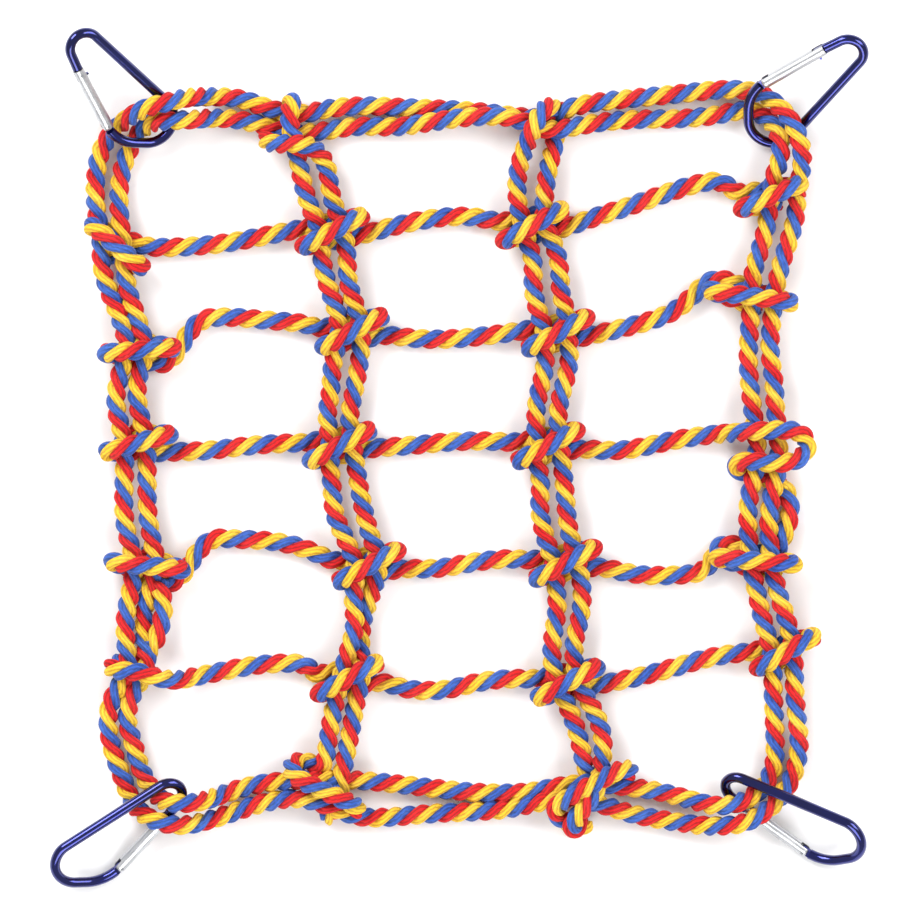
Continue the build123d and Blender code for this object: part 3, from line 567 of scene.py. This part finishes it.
def anodised_bar():
    """Bright-dipped aluminium dyed deep blue: a clear hard skin, long soft highlights along the bar."""
    material, tree = finish_named("blue_anodised_aluminium")
    place = add(tree, "ShaderNodeTexCoord").outputs["Object"]
    cloud = add(tree, "ShaderNodeTexNoise", {"Vector": place, "Scale": 60.0, "Detail": 3.0})
    grain = add(tree, "ShaderNodeTexNoise", {"Vector": place, "Scale": 2200.0, "Detail": 2.0})
    colour = blend_colours(tree, cloud.outputs[0], "#04083A", "#101C86")
    rough = add(
        tree, "ShaderNodeMapRange", {0: grain.outputs[0], 3: 0.10, 4: 0.20}
    ).outputs[0]
    bump = add(tree, "ShaderNodeBump", {"Strength": 0.08, "Distance": 0.0001, "Height": grain.outputs[0]})
    surface(
        tree, Base_Color=colour, Metallic=1.0, Roughness=rough, Normal=bump.outputs[0],
        Coat_Weight=1.0, Coat_Roughness=0.05,
    )
    return material


def drawn_tube(name, along):
    """Plain aluminium tube with fine drawing lines along its length and a greyer worn streak."""
    material, tree = finish_named(name)
    place = add(tree, "ShaderNodeTexCoord").outputs["Object"]
    x, y, z = along
    turned = add(
        tree, "ShaderNodeMapping", {"Vector": place, "Rotation": (0, math.asin(z), -math.atan2(y, x))},
        vector_type="POINT",
    ).outputs[0]
    lines = add(tree, "ShaderNodeMapping", {"Vector": turned, "Scale": (60.0, 2600.0, 2600.0)}).outputs[0]
    drawn = add(tree, "ShaderNodeTexNoise", {"Vector": lines, "Scale": 1.0, "Detail": 3.0})
    worn = add(tree, "ShaderNodeMapping", {"Vector": turned, "Scale": (90.0, 420.0, 420.0)}).outputs[0]
    streak = add(tree, "ShaderNodeTexNoise", {"Vector": worn, "Scale": 1.0, "Detail": 2.0})
    tone = maths(tree, "MULTIPLY", drawn.outputs[0], maths(tree, "ADD", streak.outputs[0], 0.5))
    colour = blend_colours(tree, tone, "#8C8F94", "#F2F3F5")
    rough = add(tree, "ShaderNodeMapRange", {0: drawn.outputs[0], 3: 0.26, 4: 0.46}).outputs[0]
    bump = add(tree, "ShaderNodeBump", {"Strength": 0.2, "Distance": 0.00015, "Height": drawn.outputs[0]})
    surface(tree, Base_Color=colour, Metallic=1.0, Roughness=rough, Normal=bump.outputs[0])
    return material


def turned_steel(name, dark, light, rough_low, rough_high):
    """Cut and polished steel: fine tool marks, darker in patches."""
    material, tree = finish_named(name)
    place = add(tree, "ShaderNodeTexCoord").outputs["Object"]
    marks = add(tree, "ShaderNodeTexNoise", {"Vector": place, "Scale": 1500.0, "Detail": 2.0})
    colour = blend_colours(tree, marks.outputs[0], dark, light)
    rough = add(tree, "ShaderNodeMapRange", {0: marks.outputs[0], 3: rough_low, 4: rough_high})
    surface(tree, Base_Color=colour, Metallic=1.0, Roughness=rough.outputs[0])
    return material


def gate_direction(corner):
    """Unit direction of a gate: from its hinge pin's middle to its latch pin's."""
    ends = [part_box(f"hook_{corner}_{pin}_pin") for pin in ("hinge", "latch")]
    middles = [(low + high) / 2 for low, high in ends]
    return (middles[1] - middles[0]).normalized()


def repaint(node, material):
    """A CAD node's own mesh with a better material in every slot."""
    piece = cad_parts[node]
    for slot in piece.material_slots:
        slot.material = material
    if not piece.material_slots:
        piece.data.materials.append(material)


bar_finish = anodised_bar()
pin_finish = turned_steel("steel_rivet_pin", "#7C7F84", "#C9CBCF", 0.2, 0.4)
plunger_finish = turned_steel("turned_steel_plunger", "#6E7074", "#B5B7BB", 0.3, 0.5)
spring_finish = turned_steel("drawn_spring_steel", "#55585C", "#A2A5AA", 0.25, 0.45)
for corner in ("top_left", "top_right", "bottom_left", "bottom_right"):
    repaint(f"hook_{corner}_frame", bar_finish)
    repaint(f"hook_{corner}_gate", drawn_tube(f"drawn_aluminium_gate_{corner}", gate_direction(corner)))
    repaint(f"hook_{corner}_hinge_pin", pin_finish)
    repaint(f"hook_{corner}_latch_pin", pin_finish)
    repaint(f"hook_{corner}_plunger", plunger_finish)
    repaint(f"hook_{corner}_spring", spring_finish)

# ---------------------------------------------------------------- floor and light
FLOOR_SIZE = 3.0  # metres
FLOOR_GAP = 0.0002  # metres, so that the rope's lowest faces and the floor don't share a plane


def painted_board():
    """Matt white painted board, with the faintest unevenness of a roller."""
    material, tree = finish_named("matt_white_board")
    place = add(tree, "ShaderNodeTexCoord").outputs["Object"]
    stipple = add(tree, "ShaderNodeTexNoise", {"Vector": place, "Scale": 30.0, "Detail": 2.0})
    colour = blend_colours(tree, stipple.outputs[0], "#F4F4F4", "#F8F8F8")
    surface(tree, Base_Color=colour, Roughness=0.9, Specular_IOR_Level=0.1)
    return material


half = FLOOR_SIZE / 2
floor_mesh = bpy.data.meshes.new("floor")
corners = [(-half, -half), (half, -half), (half, half), (-half, half)]
floor_mesh.from_pydata([(x, y, -FLOOR_GAP) for x, y in corners], [], [(0, 1, 2, 3)])
floor_mesh.materials.append(painted_board())
floor = bpy.data.objects.new("floor", floor_mesh)
bpy.context.collection.objects.link(floor)


def soft_box(name, place, size, power):
    """A square softbox that faces the net's centre."""
    light = bpy.data.lights.new(name, "AREA")
    light.size = size
    light.energy = power
    holder = bpy.data.objects.new(name, light)
    bpy.context.collection.objects.link(holder)
    holder.location = place
    towards = -holder.location
    holder.rotation_euler = towards.to_track_quat("-Z", "Y").to_euler()


soft_box("key_softbox", (-0.9, 0.9, 1.3), 0.9, 26.0)
soft_box("fill_softbox", (1.1, 0.3, 1.2), 0.9, 15.0)
soft_box("front_softbox", (0.0, -1.2, 1.1), 0.9, 13.0)

world = bpy.data.worlds.new("studio")
world.use_nodes = True
world.node_tree.nodes["Background"].inputs[0].default_value = (1.0, 1.0, 1.0, 1.0)
world.node_tree.nodes["Background"].inputs[1].default_value = 0.55
bpy.context.scene.world = world
bpy.context.scene.view_settings.view_transform = "Standard"
